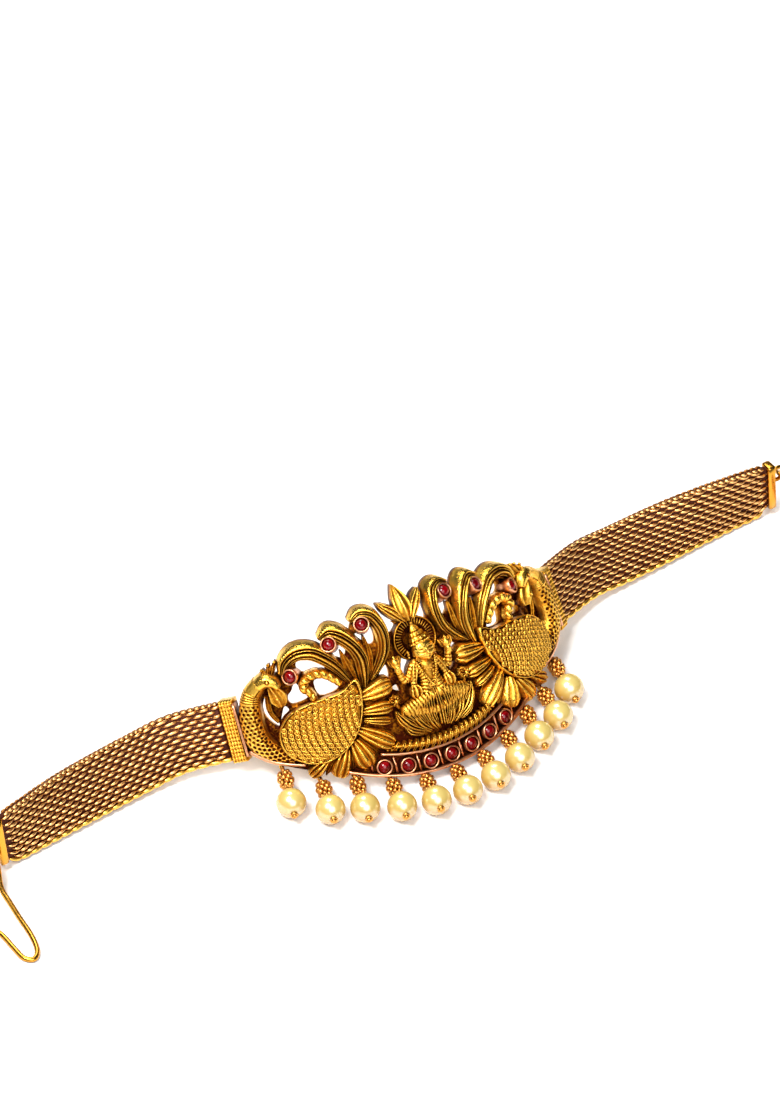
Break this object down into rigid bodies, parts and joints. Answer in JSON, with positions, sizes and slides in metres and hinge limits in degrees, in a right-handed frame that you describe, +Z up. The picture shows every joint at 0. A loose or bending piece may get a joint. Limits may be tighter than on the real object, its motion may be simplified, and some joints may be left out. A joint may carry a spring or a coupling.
{
  "type": "bajuband armlet",
  "caption": "Armlet with a pierced, arched peacock and lotus-seat motif, ruby cabochons and pearl drops, between two woven bands with a hook and an extension chain.",
  "frame": {"origin": "middle of the armlet's box on the surface that it lies on", "axes": "+X along the armlet from the hook end to the chain end, +Y the side that the motif leans back to, +Z up from the surface"},
  "size_m": [0.2224, 0.0515, 0.0328],
  "materials": {
    "antique_gold": "cast and gold plated, darkened in the recesses, bright on the ridges",
    "woven_gold": "woven wire links, rose to yellow gold, dark between the rows",
    "bright_gold": "polished gold plate",
    "granulated_gold": "granulated gold beads on a pin, darkened between the grains",
    "ruby": "deep red polished cabochon",
    "pearl": "cream pearl lustre"
  },
  "bodies": {
    "root": {"motif": "antique_gold", "band_left": "woven_gold", "band_right": "woven_gold", "end_cap_left": "bright_gold", "end_cap_right": "bright_gold", "hook_ring": "bright_gold", "hook": "bright_gold", "chain_rings": "bright_gold", "extension_chain": "bright_gold", "ruby_top_left_1": "ruby", "ruby_top_left_2": "ruby", "ruby_top_left_3": "ruby", "ruby_top_right_1": "ruby", "ruby_top_right_2": "ruby", "ruby_top_right_3": "ruby", "ruby_row_1": "ruby", "ruby_row_2": "ruby", "ruby_row_3": "ruby", "ruby_row_4": "ruby", "ruby_row_5": "ruby", "ruby_row_6": "ruby", "ruby_row_7": "ruby", "pearl_1": "pearl", "pearl_2": "pearl", "pearl_3": "pearl", "pearl_4": "pearl", "pearl_5": "pearl", "pearl_6": "pearl", "pearl_7": "pearl", "pearl_8": "pearl", "pearl_9": "pearl", "pearl_10": "pearl", "pearl_11": "pearl", "drop_1": "granulated_gold", "drop_2": "granulated_gold", "drop_3": "granulated_gold", "drop_4": "granulated_gold", "drop_5": "granulated_gold", "drop_6": "granulated_gold", "drop_7": "granulated_gold", "drop_8": "granulated_gold", "drop_9": "granulated_gold", "drop_10": "granulated_gold", "drop_11": "granulated_gold"}
  },
  "joints": []
}
